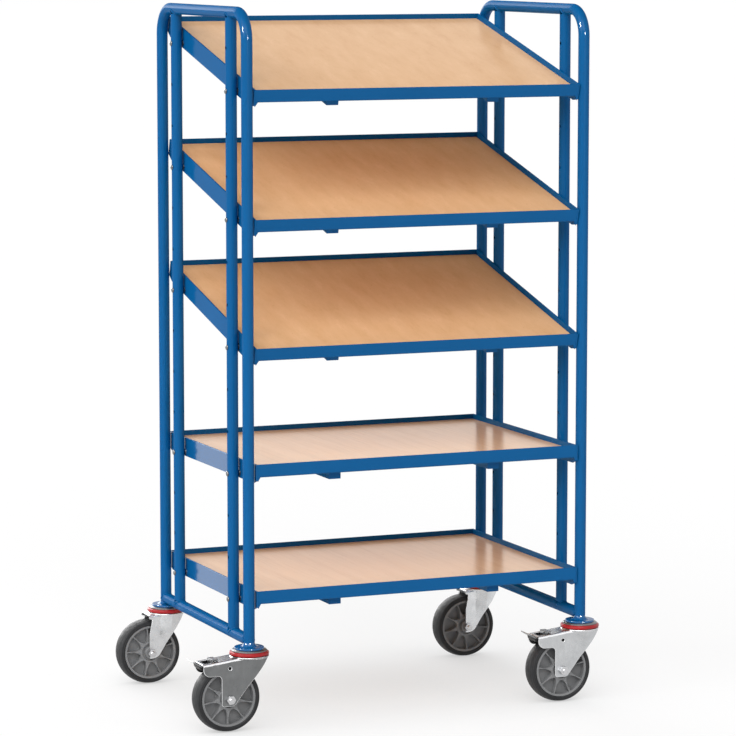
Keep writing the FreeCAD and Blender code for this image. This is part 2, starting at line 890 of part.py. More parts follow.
def rear_fork_outline():
    """Side view of a plain fork: short tab behind the crown, legs tapering to a round foot."""
    axle = -cell("rear_trail")
    reach = axle - cell("tab_behind")
    foot, foot_radius = axle_height - cell("rear_foot_radius"), cell("rear_foot_radius")
    heel_rise = cell("rear_heel_rise")
    heel_back = root_of(foot_radius * foot_radius - heel_rise * heel_rise)
    nose = cell("crown_dia") / 2 - cell("rear_nose_inset")
    return [
        (reach, crown_top + BORDER),
        (reach, crown_foot - cell("tab_edge")),
        (axle + cell("tab_root_ahead"), crown_foot - cell("tab_root_edge")),
        (axle - heel_back, axle_height + heel_rise),
        (axle, foot, foot_radius),
        (axle + cell("rear_toe_ahead"), foot + cell("rear_toe_rise"), cell("rear_toe_radius")),
        (nose, crown_foot),
        (nose, crown_top + BORDER),
    ]


def fork_housing(reach, drop):
    """Folded sheet with rounded shoulders, from the bend line to the trailing end, falling by a drop."""
    half, thick, shoulder = cheek_outer, cell("sheet"), cell("shoulder_radius")
    inner, inner_shoulder = half - thick, shoulder - thick
    top, ceiling, foot = crown_top, crown_foot, axle_height / 2
    section = free_sketch(YZ_TURN, x=-cell("bend_line"))
    trace(section, [
        (-half, foot),
        (-inner, foot),
        (-inner, ceiling - inner_shoulder),
        (-inner + inner_shoulder, ceiling, -inner_shoulder),
        (inner - inner_shoulder, ceiling),
        (inner, ceiling - inner_shoulder, -inner_shoulder),
        (inner, foot),
        (half, foot),
        (half, top - shoulder),
        (half - shoulder, top, shoulder),
        (-half + shoulder, top),
        (-half, top - shoulder, shoulder),
    ])
    run = reach - cell("bend_line")
    shell = extrusion(section, Vector(-run.value, 0, -drop.value), 0)
    bind(shell, "Dir.x", -run)
    bind(shell, "Dir.z", -drop)
    bind(shell, "LengthFwd", diagonal_of(run, drop))
    return shell


def fork_leg():
    """A pressed leg: flat at the axle, flared from the bend line up to the round crown."""
    inner, outer = cheek_half, cheek_outer
    start, flare_start = -cell("bend_line"), axle_height + cell("flare_rise")
    crown = cell("crown_dia") / 2 - cell("crown_lip")
    throat = crown - cell("sheet")
    nose = cell("nose_half")
    flat = [
        (start, outer),
        (start, inner),
        (0, inner),
        (crown, inner),
        (crown, outer),
        (0, outer),
    ]
    round_top = [
        (start, outer),
        (start, inner),
        (0, throat),
        (root_of(throat * throat - nose * nose), nose, -throat),
        (root_of(crown * crown - nose * nose), nose),
        (0, crown, crown),
    ]
    low = trace(free_sketch(FreeCAD.Rotation(), z=flare_start), flat)
    high = trace(free_sketch(FreeCAD.Rotation(), z=crown_foot + cell("sheet") / 2), round_top)
    flare = part("Loft", Sections=[low, high], Solid=True, Ruled=True)
    plain = block(start, inner, axle_height / 2, crown - start, cell("sheet"), flare_start - axle_height / 2)
    return [flare, plain]


def fork(label, outline, trail, reach, drop, braked):
    legs = fork_leg()
    mirrored = [part("Mirroring", Source=piece, Normal=Y_AXIS) for piece in legs]
    pressed = part("MultiFuse", Shapes=[fork_housing(reach, drop)] + legs + mirrored)
    side_view = extrusion(trace(free_sketch(XZ_TURN), outline), Y_AXIS, 2 * cell("crown_dia").value, True)
    bind(side_view, "LengthFwd", 2 * cell("crown_dia"))
    trimmed = part("Common", Base=pressed, Tool=side_view)
    crown = rod(cell("crown_dia"), cell("sheet"), z=crown_foot)
    blank = part("Fuse", Base=trimmed, Tool=crown)
    across = 2 * cell("crown_dia")
    cuts = [
        rod(cell("sleeve_dia") + 2 * cell("race_gap"), 2 * cell("sheet"), z=crown_foot - cell("sheet") / 2),
        cross_rod(cell("axle_dia") + 2 * cell("bolt_clearance"), across, -trail, axle_height),
    ]
    if braked:
        seat_length = 2 * (cheek_half + cell("pivot_seat") + cell("running_gap"))
        seat_dia = cell("pivot_dia") + 2 * cell("thread_gap")
        window_x = -reach + cell("window_inset")
        window_width = cell("window_width")
        cuts += [
            cross_rod(cell("cheek_hole_dia"), across, -trail, crown_top - cell("cheek_hole_depth")),
            cross_rod(seat_dia, seat_length, pivot_x, pivot_height),
            block(window_x, -window_width / 2, crown_foot - drop - cell("sheet"), cell("window_length"),
                  window_width, drop + 3 * cell("sheet")),
        ]
    return keep(part("Cut", Base=blank, Tool=part("MultiFuse", Shapes=cuts)), label)


def axle_bolt():
    """The axle: a bolt along Y with its head behind and its threaded end in front."""
    bolt = new_body("axle_bolt")
    tip = cheek_outer + cell("axle_nut_height") + cell("axle_spare")
    circle_sketch = circle(sketch_in(bolt, "XZ_Plane", -cheek_outer), cell("axle_dia"))
    pad(bolt, circle_sketch, cheek_outer + tip)
    head = hexagon(sketch_in(bolt, "XZ_Plane", -cheek_outer), cell("axle_flats"))
    pad(bolt, head, cell("axle_head_height"), reverse=True)
    return bolt


def axle_nut():
    nut = new_body("axle_nut")
    section = hexagon(sketch_in(nut, "XZ_Plane", cheek_outer), cell("axle_flats"))
    circle(section, cell("axle_dia") + 2 * cell("thread_gap"))
    pad(nut, section, cell("axle_nut_height"))
    return nut


def axle_sleeve(label):
    """The tube that keeps the fork's legs apart; the hub turns on it."""
    sleeve = new_body(label)
    section = sketch_in(sleeve, "XZ_Plane")
    circle(section, cell("axle_sleeve_dia"))
    circle(section, cell("axle_dia") + 2 * cell("thread_gap"))
    pad(sleeve, section, 2 * cheek_half, symmetric=True)
    return keep(sleeve, label)


def wheel_rim(label):
    """Moulded rim: hub with a ring and a core, thin web, outer ring, and flared ribs on both sides."""
    rim = new_body(label)
    bore = cell("axle_sleeve_dia") / 2 + cell("running_gap")
    core, hub = cell("hub_core_dia") / 2, cell("hub_dia") / 2
    outer = rim_dia / 2
    core_end = cheek_half - cell("hub_end_gap")
    ring_end = rim_width / 2
    recess, web = ring_end - cell("hub_recess"), cell("web_thick") / 2
    half = [
        (core_end, bore),
        (core_end, core),
        (recess, core),
        (recess, hub - cell("hub_ring")),
        (ring_end, hub - cell("hub_ring")),
        (ring_end, hub),
        (web, hub),
        (web, outer - cell("rim_wall")),
        (ring_end, outer - cell("rim_wall")),
        (ring_end, outer),
    ]
    profile = half + [(-y, z) for y, z in reversed(half)]
    revolve(rim, trace(sketch_in(rim, "YZ_Plane"), profile), "H_Axis")
    slim = cell("rib_width") / 2
    flare = slim + cell("rib_flare")
    root, tip = hub - cell("hub_ring") / 2, outer - cell("rim_wall") / 2
    run, rise = (tip - root) / 2, cell("rib_flare")
    curve = (run * run + rise * rise) / (2 * rise)
    middle = root + run
    outline = [
        (root, flare, -curve),
        (root, -flare),
        (middle, -slim, -curve),
        (tip, -slim),
        (tip, slim),
        (middle, slim),
    ]
    depth = rim_width - 2 * cell("rib_set_back")
    rib = pad(rim, trace(sketch_in(rim, "XZ_Plane"), outline), depth, symmetric=True)
    wreath = rim.newObject("PartDesign::PolarPattern", "Wreath")
    wreath.Originals = [rib]
    wreath.Axis = (origin_axis(rim, "Y_Axis"), [""])
    wreath.Angle = 360
    wreath.Occurrences = RIB_COUNT
    rim.Tip = wreath
    return keep(rim, label)


def tyre(label):
    """Solid tyre with a crowned tread, round shoulders and a bead that meets the rim."""
    body = new_body(label)
    bead = rim_dia / 2 + cell("weld_gap")
    tread, half = cell("wheel_dia") / 2, cell("tyre_width") / 2
    seat = rim_width / 2
    shoulder, crown = cell("tyre_shoulder"), cell("tyre_crown")
    edge, edge_y = tread - crown, half - shoulder
    curve = (edge_y * edge_y + crown * crown) / (2 * crown)
    profile = [
        (-seat, bead),
        (seat, bead),
        (half, bead + crown),
        (half, edge - shoulder),
        (edge_y, edge, shoulder),
        (-edge_y, edge, curve),
        (-half, edge - shoulder, shoulder),
        (-half, bead + crown),
    ]
    revolve(body, trace(sketch_in(body, "YZ_Plane"), profile), "H_Axis")
    return keep(body, label)


# Foot brakes, in the fork's own frame

def brake_pedal(label):
    """Folded pedal: a barrel on the pin, a plate that bends up behind the housing, a hook in the window."""
    pedal = new_body(label)
    thick, rise = cell("pedal_thick"), cell("pedal_tip_rise")
    tip = pedal_bend - cell("pedal_tip_length")
    half_lift = thick * pedal_slope / 2
    plate = [
        (pivot_x, pedal_under),
        (pivot_x, pedal_under + thick),
        (pedal_bend + half_lift, pedal_under + thick),
        (tip + half_lift, pedal_under + thick + rise),
        (tip - half_lift, pedal_under + rise),
        (pedal_bend - half_lift, pedal_under),
    ]
    pad(pedal, trace(sketch_in(pedal, "XZ_Plane"), plate), pedal_width, symmetric=True)
    barrel = circle(sketch_in(pedal, "XZ_Plane"), cell("barrel_dia"), pivot_x, pivot_height)
    pad(pedal, barrel, pedal_width, symmetric=True)
    lug_back = -(cell("front_trail") + cell("lug_behind"))
    lug_front, lug_end = lug_back + cell("lug_thick"), lug_back + cell("lug_length")
    lug_foot, lug_top = pedal_under + thick / 2, crown_top - cell("lug_depth")
    lug_under = lug_top - cell("lug_thick")
    lug = [
        (lug_back, lug_foot),
        (lug_front, lug_foot),
        (lug_front, lug_under),
        (lug_end, lug_under),
        (lug_end, lug_top),
        (lug_back, lug_top),
    ]
    pad(pedal, trace(sketch_in(pedal, "XZ_Plane"), lug), cell("lug_width"), symmetric=True)
    bore_dia = cell("pivot_dia") + 2 * cell("running_gap")
    bore = circle(sketch_in(pedal, "XZ_Plane"), bore_dia, pivot_x, pivot_height)
    pocket(pedal, bore, 2 * pedal_width, symmetric=True)
    return keep(pedal, label)


def brake_shoe(label):
    """The block under the pedal that comes down on the tread, its face curved round the wheel."""
    shoe = new_body(label)
    axle = -cell("front_trail")
    back, toe = axle - cell("shoe_back_behind"), axle - cell("shoe_toe_behind")
    front = axle - cell("shoe_front_behind")
    face = cell("wheel_dia") / 2 + cell("shoe_gap")

    def on_face(x):
        return axle_height + root_of(face * face - (x - axle) * (x - axle))

    foot, corner = on_face(toe), cell("shoe_corner")
    fold = pedal_bend - cell("pedal_thick") * pedal_slope / 2
    outline = [
        (front, pedal_under),
        (fold, pedal_under),
        (back, pedal_under + (fold - back) * pedal_slope),
        (back, foot + corner),
        (back + corner, foot, corner),
        (toe, foot),
        (front, on_face(front), -face),
    ]
    width = pedal_width - 2 * cell("shoe_inset")
    pad(shoe, trace(sketch_in(shoe, "XZ_Plane"), outline), width, symmetric=True)
    return keep(shoe, label)


def brake_pin(label):
    pin = new_body(label)
    section = circle(sketch_in(pin, "XZ_Plane"), cell("pivot_dia"), pivot_x, pivot_height)
    pad(pin, section, 2 * (cheek_half + cell("pivot_seat")), symmetric=True)
    return keep(pin, label)


def castor(name, side, end):
    swivel_x, swivel_y = side * frame_half, end * leg_half
    braked = end < 0
    if braked:
        trail, drop, outline = cell("front_trail"), cell("front_drop"), front_fork_outline()
        reach = trail + cell("housing_behind")
    else:
        trail, drop, outline = cell("rear_trail"), cell("rear_drop"), rear_fork_outline()
        reach = trail + cell("tab_behind")
    pieces = [fork(f"{name}_fork", outline, trail, reach, drop, braked)]
    if braked:
        pieces += [brake_pedal(f"{name}_brake_pedal"), brake_shoe(f"{name}_brake_shoe"),
                   brake_pin(f"{name}_brake_pin")]
    for piece in pieces:
        place(piece, swivel_x, swivel_y)
    axle_x = swivel_x - trail
    turn = FreeCAD.Rotation(-Y_AXIS, SIZES[f"{name}_turn"])
    axle = group([axle_bolt(), axle_nut()], f"{name}_axle")
    for piece in (axle, axle_sleeve(f"{name}_axle_sleeve")):
        place(piece, axle_x, swivel_y, axle_height)
    for piece in (wheel_rim(f"{name}_rim"), tyre(f"{name}_tyre")):
        place(piece, axle_x, swivel_y, axle_height, turn)
        bind(piece, "Placement.Rotation.Angle", cell(f"{name}_turn"))


def build():
    for side_name, side in SIDES.items():
        end_loop(f"{side_name}_end_loop", side)
        bottom_rail(f"{side_name}_bottom_rail", side)
        for end_name, end in ENDS.items():
            shelf_post(f"{side_name}_{end_name}_post", side, end)
    shelves()
    shelf_fasteners()
    castor_heads()
    for end_name, end in ENDS.items():
        for side_name, side in SIDES.items():
            castor(f"{end_name}_{side_name}", side, end)
    doc.recompute()


def check():
    for item in doc.Objects:
        if {"Invalid", "Error"} & set(item.State):
            raise RuntimeError(f"{item.Label} failed: {item.State}")
    for piece in subparts:
        if piece.Shape.isNull() or not piece.Shape.isValid() or not piece.Shape.Solids:
            raise RuntimeError(f"{piece.Label} has no valid solid")


def write():
    os.makedirs("parts", exist_ok=True)
    for piece in subparts:
        solids = piece.Shape.Solids
        shape = solids[0] if len(solids) == 1 else Part.makeCompound(solids)
        shape.exportStep(f"parts/{piece.Label}.step")


build()
check()
write()
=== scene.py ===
import math

import bmesh
import bpy
from mathutils import Matrix, Vector

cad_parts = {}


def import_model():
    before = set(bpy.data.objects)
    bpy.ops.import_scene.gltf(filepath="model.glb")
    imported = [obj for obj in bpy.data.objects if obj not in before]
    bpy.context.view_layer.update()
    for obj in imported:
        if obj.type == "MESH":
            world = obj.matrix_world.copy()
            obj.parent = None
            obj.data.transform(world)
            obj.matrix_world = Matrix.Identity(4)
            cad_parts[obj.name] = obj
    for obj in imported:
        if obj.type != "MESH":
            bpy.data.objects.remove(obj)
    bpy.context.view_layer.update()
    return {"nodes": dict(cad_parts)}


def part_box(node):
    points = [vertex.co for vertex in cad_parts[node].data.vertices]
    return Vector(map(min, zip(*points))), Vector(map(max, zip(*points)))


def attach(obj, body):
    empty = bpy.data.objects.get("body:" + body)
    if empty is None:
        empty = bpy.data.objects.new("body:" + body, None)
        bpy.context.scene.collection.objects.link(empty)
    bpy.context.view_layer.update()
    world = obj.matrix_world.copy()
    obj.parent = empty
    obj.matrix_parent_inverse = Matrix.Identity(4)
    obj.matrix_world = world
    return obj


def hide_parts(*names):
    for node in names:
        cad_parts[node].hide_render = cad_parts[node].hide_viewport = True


# Looks of the shelf trolley, in metres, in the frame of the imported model:
# origin on the floor at the middle of the plan, X to the right, Y to the rear, Z up.

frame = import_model()

SIDES = {"left": -1, "right": 1}
ENDS = {"front": -1, "rear": 1}
SHELVES = range(1, 6)
X_AXIS, Y_AXIS, Z_AXIS = Vector((1, 0, 0)), Vector((0, 1, 0)), Vector((0, 0, 1))

# Fineness of the round forms, and the angle above which an edge stays sharp
SEGMENTS = 40
WHEEL_SEGMENTS = 112
FILLET_STEPS = 5
ARC_STEPS = 8
SHARP_ANGLE = math.radians(38)

# Radius at which a turned form ends beside its axis
AXIS_GAP = 0.0002


def middle_of(node):
    low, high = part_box(node)
    return (low + high) / 2


def half_of(node):
    low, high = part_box(node)
    return (high - low) / 2


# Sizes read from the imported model
TUBE_RADIUS = half_of("left_bottom_rail").x
FRAME_HALF = middle_of("right_end_loop").x
LEG_HALF = half_of("right_end_loop").y - TUBE_RADIUS
POST_HALF = middle_of("right_rear_post").y
LEG_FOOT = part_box("right_end_loop")[0].z
TOP_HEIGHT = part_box("right_end_loop")[1].z - TUBE_RADIUS
RAIL_HEIGHT = middle_of("right_bottom_rail").z
CASTOR_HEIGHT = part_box("leg_flanges")[0].z
WHEEL_RADIUS = half_of("rear_left_tyre").z
TYRE_HALF = half_of("rear_left_tyre").y
RIM_RADIUS = half_of("rear_left_rim").z
HEAD_RADIUS = half_of("castor_head_plates").x - FRAME_HALF
FLANGE_RADIUS = half_of("leg_flanges").x - FRAME_HALF
SEAL_RADIUS = half_of("swivel_seals").x - FRAME_HALF
SEAL_FOOT, SEAL_TOP = (corner.z - CASTOR_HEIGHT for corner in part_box("swivel_seals"))

# Sizes that the boxes of the nodes don't give
TUBE_WALL = 0.002
BEND_RADIUS = 0.0625
HOLE_COUNT = 14
HOLE_PITCH = 0.1
HOLE_RADIUS = 0.0045
FIRST_HOLE_RISE = 0.081
SIDE_THICK = 0.004
WASHER_THICK = 0.0015
WASHER_RADIUS = 0.0085
BOLT_RADIUS = 0.004
BOLT_CLEARANCE = 0.00025
NUT_FLATS = 0.013
NUT_HEIGHT = 0.0065
AXLE_RADIUS = 0.006
AXLE_FLATS = 0.019
KING_RADIUS = 0.006
DISH_RADIUS = 0.020
DISH_THICK = 0.004
SHEET = 0.003
RACE_GAP = 0.0004

# Holes from the top that carry each shelf, at the front and the rear post
SHELF_HOLES = [(2, 1), (5, 4), (8, 7), (11, 11), (14, 14)]

# Sizes that follow from both
CHEEK_OUTER = half_of("rear_left_axle_sleeve").y + SHEET
DISH_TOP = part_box("rear_left_fork")[1].z - SHEET - RACE_GAP - CASTOR_HEIGHT
SHELF_HALF = FRAME_HALF - TUBE_RADIUS - WASHER_THICK

# Widths of the rounded edges
ROUNDING = {
    "rails": 0.0007, "sides": 0.0006, "board": 0.0013, "crossbars": 0.0006,
    "rim": 0.0006, "fork": 0.0010, "pedal": 0.0005, "shoe": 0.0012,
}


# Materials

def new_material(name, roughness, metallic=0.0, specular=0.5, coat=0.0):
    material = bpy.data.materials.new(name)
    material.use_nodes = True
    shader = material.node_tree.nodes["Principled BSDF"]
    shader.inputs["Roughness"].default_value = roughness
    shader.inputs["Metallic"].default_value = metallic
    shader.inputs["Specular IOR Level"].default_value = specular
    shader.inputs["Coat Weight"].default_value = coat
    return material, shader


def node(owner, kind, **inputs):
    """A shader node of a material or world, with its inputs set by name."""
    made = owner.node_tree.nodes.new(kind)
    for name, value in inputs.items():
        made.inputs[name.replace("_", " ")].default_value = value
    return made


def join(owner, output, target):
    owner.node_tree.links.new(output, target)


def noise(material, scale, detail=3.0, roughness=0.5, stretch=(1, 1, 1)):
    """A noise in the piece's own coordinates, in metres, stretched along its axes."""
    source = node(material, "ShaderNodeTexCoord")
    mapping = node(material, "ShaderNodeMapping", Scale=stretch)
    join(material, source.outputs["Object"], mapping.inputs["Vector"])
    made = node(material, "ShaderNodeTexNoise", Scale=scale, Detail=detail, Roughness=roughness)
    join(material, mapping.outputs["Vector"], made.inputs["Vector"])
    return made.outputs["Fac"]


def spread(owner, value, low, high, bottom=0.3, top=0.7):
    """Maps a value from the range bottom to top, or a noise's usual range, to the range low to high."""
    made = node(owner, "ShaderNodeMapRange", From_Min=bottom, From_Max=top, To_Min=low, To_Max=high)
    join(owner, value, made.inputs["Value"])
    return made.outputs["Result"]


def blend(material, factor, first, second):
    """A colour between two, each a tuple or a socket."""
    made = node(material, "ShaderNodeMix")
    made.data_type = "RGBA"
    join(material, factor, made.inputs["Factor"])
    for socket, colour in ((made.inputs[6], first), (made.inputs[7], second)):
        if isinstance(colour, tuple):
            socket.default_value = (*colour, 1)
        else:
            join(material, colour, socket)
    return made.outputs[2]


def bump(material, shader, height, strength, distance=0.0002):
    made = node(material, "ShaderNodeBump", Strength=strength, Distance=distance)
    join(material, height, made.inputs["Height"])
    join(material, made.outputs["Normal"], shader.inputs["Normal"])


def blue_paint(name, gloss, specular=0.0):
    """Powder coat: even blue with a faint cloud and speckle under a glossy skin with orange peel.

    Painted shade: the glossy skin is weakened on faces that look up, so that they mirror less of the white
    surroundings.
    """
    material, shader = new_material(name, 0.15, specular=specular, coat=gloss)
    cloud = spread(material, noise(material, 9, detail=2), 0, 1)
    speckle = spread(material, noise(material, 1400, detail=1), 0, 1)
    base = blend(material, cloud, (0.0020, 0.084, 0.243), (0.0030, 0.094, 0.268))
    colour = blend(material, speckle, base, (0.0034, 0.099, 0.279))
    join(material, colour, shader.inputs["Base Color"])
    shader.inputs["Coat Roughness"].default_value = 0.10
    facing = node(material, "ShaderNodeSeparateXYZ")
    join(material, node(material, "ShaderNodeNewGeometry").outputs["Normal"], facing.inputs["Vector"])
    # Painted shade: faces that look up keep a tenth of the glossy skin.
    upward_shade_gloss = 0.1 * gloss
    skin = spread(material, facing.outputs["Z"], gloss, upward_shade_gloss, bottom=0.3, top=0.8)
    join(material, skin, shader.inputs["Coat Weight"])
    join(material, spread(material, noise(material, 30), 0.12, 0.18), shader.inputs["Roughness"])
    bump(material, shader, noise(material, 420, detail=2), 0.08)
    return material


def beech_board():
    """Beech decor: soft streaks from front to rear, short dark flecks and a sheen at a slant."""
    material, shader = new_material("beech_board", 0.22)
    streaks = spread(material, noise(material, 12, 5, 0.6, stretch=(2.4, 0.16, 2.4)), 0, 1)
    fine = spread(material, noise(material, 60, 4, 0.65, stretch=(3, 0.08, 3)), 0, 1)
    specks = noise(material, 210, 2, stretch=(1.7, 0.16, 1.7))
    flecks = spread(material, specks, 0, 1, bottom=0.64, top=0.74)
    base = blend(material, streaks, (0.672, 0.385, 0.190), (0.808, 0.512, 0.290))
    grained = blend(material, fine, base, (0.742, 0.450, 0.241))
    colour = blend(material, flecks, grained, (0.680, 0.395, 0.198))
    join(material, colour, shader.inputs["Base Color"])
    join(material, spread(material, fine, 0.19, 0.26, bottom=0, top=1), shader.inputs["Roughness"])
    slant = node(material, "ShaderNodeLayerWeight", Blend=0.5)
    sheen = spread(material, slant.outputs["Facing"], 0, 0.36, bottom=0.71, top=0.84)
    join(material, sheen, shader.inputs["Specular IOR Level"])
    bump(material, shader, noise(material, 260, stretch=(1, 0.1, 1)), 0.06)
    return material


def board_edge():
    """Edge band: pale cream plastic with faint streaks along the edge."""
    material, shader = new_material("board_edge", 0.42, specular=0.45)
    streaks = spread(material, noise(material, 30, stretch=(0.1, 0.1, 6)), 0, 1)
    colour = blend(material, streaks, (0.80, 0.68, 0.52), (0.86, 0.75, 0.60))
    join(material, colour, shader.inputs["Base Color"])
    bump(material, shader, noise(material, 600, detail=2), 0.06)
    return material


def zinc(name, dark, light, roughness):
    """Zinc plate: cloudy grey metal with fine drawn streaks and an uneven shine."""
    material, shader = new_material(name, roughness, metallic=1.0)
    cloud = spread(material, noise(material, 42, 4, 0.6), 0, 1)
    drawn = spread(material, noise(material, 160, 3, 0.6, stretch=(1, 1, 0.12)), 0, 1)
    base = blend(material, cloud, dark, light)
    mixed = tuple((a + b) / 2 for a, b in zip(dark, light))
    join(material, blend(material, drawn, base, mixed), shader.inputs["Base Color"])
    shine = spread(material, noise(material, 75, 4, 0.6), roughness - 0.07, roughness + 0.09)
    join(material, shine, shader.inputs["Roughness"])
    bump(material, shader, noise(material, 520), 0.10)
    return material


def moulded(name, dark, light, roughness, grain, specular=0.45):
    """Moulded plastic or rubber: faint cloud, fine grain and an uneven shine."""
    material, shader = new_material(name, roughness, specular=specular)
    cloud = spread(material, noise(material, 26, 4, 0.6), 0, 1)
    join(material, blend(material, cloud, dark, light), shader.inputs["Base Color"])
    shine = spread(material, noise(material, 60), roughness - 0.06, roughness + 0.08)
    join(material, shine, shader.inputs["Roughness"])
    bump(material, shader, noise(material, grain, detail=2), 0.15, 0.0003)
    return material


BLUE = blue_paint("blue_paint", 0.2)
# A glossier copy of the same paint, for painted sheen and highlights
SHEEN_BLUE = blue_paint("blue_sheen", 0.75, 0.12)
BEECH = beech_board()
EDGE = board_edge()
ZINC = zinc("zinc", (0.42, 0.43, 0.44), (0.62, 0.63, 0.64), 0.28)
# The forks' zinc comes in lit and darker copies for painted light and shade, and a bright one for painted
# highlights
LIT_ZINC = zinc("lit_zinc", (0.56, 0.57, 0.58), (0.78, 0.79, 0.80), 0.28)
DARK_ZINC = zinc("dark_zinc", (0.155, 0.16, 0.162), (0.240, 0.245, 0.247), 0.32)
PEDAL_ZINC = zinc("pedal_zinc", (0.24, 0.245, 0.25), (0.34, 0.345, 0.35), 0.32)
HIGHLIGHT_ZINC = zinc("highlight_zinc", (0.86, 0.87, 0.88), (0.94, 0.94, 0.95), 0.22)
STEEL = zinc("bolt_steel", (0.50, 0.50, 0.51), (0.68, 0.68, 0.69), 0.26)
DARK_STEEL = zinc("dark_steel", (0.16, 0.165, 0.17), (0.26, 0.265, 0.27), 0.24)
RED = moulded("red_seal", (0.30, 0.006, 0.009), (0.40, 0.010, 0.013), 0.34, 500, 0.35)
RIM = moulded("grey_plastic", (0.170, 0.173, 0.177), (0.225, 0.228, 0.232), 0.42, 700)
TYRE = moulded("grey_tyre", (0.014, 0.0145, 0.0155), (0.024, 0.0245, 0.026), 0.55, 900, 0.25)
BLACK = moulded("black_plastic", (0.008, 0.008, 0.009), (0.016, 0.016, 0.017), 0.45, 600)

# Painted shade on the forks that don't take the lit zinc, and the slopes at which folds get a painted
# highlight
FORK_SHADE_TONES = {"front_left": DARK_ZINC, "front_right": ZINC}
HIGHLIGHT_SLOPES = (0.25, 0.9)

# Level shelves, whose side plates get a painted sheen outside from a glossier copy of the paint
SHEEN_SHELVES = (4, 5)


# Mesh tools

def circle_angles(segments):
    return [2 * math.pi * step / segments for step in range(segments)]


def fillet(corners):
    """Points of a closed outline of (x, y) or (x, y, radius) corners, the latter rounded."""
    points = []
    count = len(corners)
    for index, corner in enumerate(corners):
        here = Vector(corner[:2])
        if len(corner) == 2:
            points.append(here)
            continue
        before = Vector(corners[index - 1][:2]) - here
        after = Vector(corners[(index + 1) % count][:2]) - here
        turn = math.pi - before.angle(after)
        reach = corner[2] * math.tan(turn / 2)
        start, end = here + before.normalized() * reach, here + after.normalized() * reach
        for step in range(FILLET_STEPS + 1):
            share = step / FILLET_STEPS
            first, last = start.lerp(here, share), here.lerp(end, share)
            points.append(first.lerp(last, share))
    return points


def band(bm, first, second):
    """Faces between two closed rows of as many vertices each."""
    for index in range(len(first)):
        bm.faces.new((first[index - 1], first[index], second[index], second[index - 1]))


def loft(bm, rings, close=False, caps=False):
    """Skins rings of as many points each. Each ring is closed; close joins the last ring to the first."""
    rows = [[bm.verts.new(point) for point in ring] for ring in rings]
    for lower, upper in zip(rows, rows[1:]):
        band(bm, lower, upper)
    if close:
        band(bm, rows[-1], rows[0])
    if caps:
        bm.faces.new(list(reversed(rows[0])))
        bm.faces.new(rows[-1])


def lathe(bm, corners, segments=SEGMENTS):
    """Turns a closed outline of (radius, height) corners about Z."""
    angles = circle_angles(segments)
    rings = []
    for radius, height in fillet(corners):
        rings.append([(radius * math.cos(a), radius * math.sin(a), height) for a in angles])
    loft(bm, rings, close=True)


def sweep(bm, path, radius, side, closed=False, segments=SEGMENTS):
    """A round tube along a path. side gives a direction across the path at each point."""
    angles = circle_angles(segments)
    rings = []
    count = len(path)
    for index, point in enumerate(path):
        ahead = path[(index + 1) % count] if closed or index + 1 < count else point
        behind = path[index - 1] if closed or index > 0 else point
        across = side(index)
        up = (ahead - behind).normalized().cross(across)
        width = radius(index)
        rings.append([point + (across * math.cos(a) + up * math.sin(a)) * width for a in angles])
    loft(bm, rings, close=closed, caps=not closed)


def hex_reach(angle, flats):
    """Distance from the middle of a hexagon to its edge; its corners lie at 0 and every 60 degrees."""
    off = (angle % (math.pi / 3)) - math.pi / 6
    return flats / 2 / math.cos(off)


def hex_prism(bm, flats, height, bore, segments=48):
    """A nut or bolt head along Z with chamfered corners, open for a bore or closed when it is 0."""
    angles = circle_angles(segments)
    chamfer = math.tan(math.radians(30))
    chamfer_start = 0.97 * flats / 2
    face_radius = 0.47 * flats * 0.98
    reaches = [hex_reach(a, flats) for a in angles]
    drops = [(reach - chamfer_start) * chamfer for reach in reaches]

    def ring(radii, heights):
        return [(r * math.cos(a), r * math.sin(a), h) for r, a, h in zip(radii, angles, heights)]

    flat, hole = [face_radius] * segments, [max(bore, AXIS_GAP)] * segments
    rings = [
        ring(hole, [0] * segments),
        ring(flat, [0] * segments),
        ring(reaches, drops),
        ring(reaches, [height - drop for drop in drops]),
        ring(flat, [height] * segments),
        ring(hole, [height] * segments),
    ]
    loft(bm, rings, close=True)


def threaded_rod(bm, radius, start, end, pitch=0.00125):
    """A bolt's shank along Z with fine thread ridges and a chamfered tip."""
    root, runout, tip = 0.88 * radius, 0.95 * radius, 0.75 * radius
    outline = [(AXIS_GAP, start), (radius, start)]
    steps = max(int((end - start - pitch) / pitch), 1)
    for step in range(steps):
        height = start + step * pitch
        outline += [(radius, height + 0.3 * pitch), (root, height + 0.8 * pitch)]
    outline += [(runout, end - 0.6 * pitch), (tip, end), (AXIS_GAP, end)]
    lathe(bm, outline, segments=24)


def tidy(bm):
    bmesh.ops.remove_doubles(bm, verts=bm.verts, dist=1e-6)
    bmesh.ops.recalc_face_normals(bm, faces=bm.faces)


def merge(bm, form, place=Matrix()):
    """Moves a finished form into another mesh, at a place."""
    copy = bpy.data.meshes.new("copy")
    form.to_mesh(copy)
    form.free()
    start = len(bm.verts)
    bm.from_mesh(copy)
    bm.verts.ensure_lookup_table()
    bmesh.ops.transform(bm, matrix=place, verts=bm.verts[start:])
    bpy.data.meshes.remove(copy)


def stamped(build, places):
    """Builds a form once and copies it to each place."""
    form = bmesh.new()
    build(form)
    tidy(form)
    bm = bmesh.new()
    for place in places:
        merge(bm, form.copy(), place)
    form.free()
    bmesh.ops.recalc_face_normals(bm, faces=bm.faces)
    return bm


def mesh_from(bm, name, *materials):
    mesh = bpy.data.meshes.new(name)
    bm.to_mesh(mesh)
    bm.free()
    mesh.shade_smooth()
    mesh.set_sharp_from_angle(angle=SHARP_ANGLE)
    for material in materials:
        mesh.materials.append(material)
    return mesh


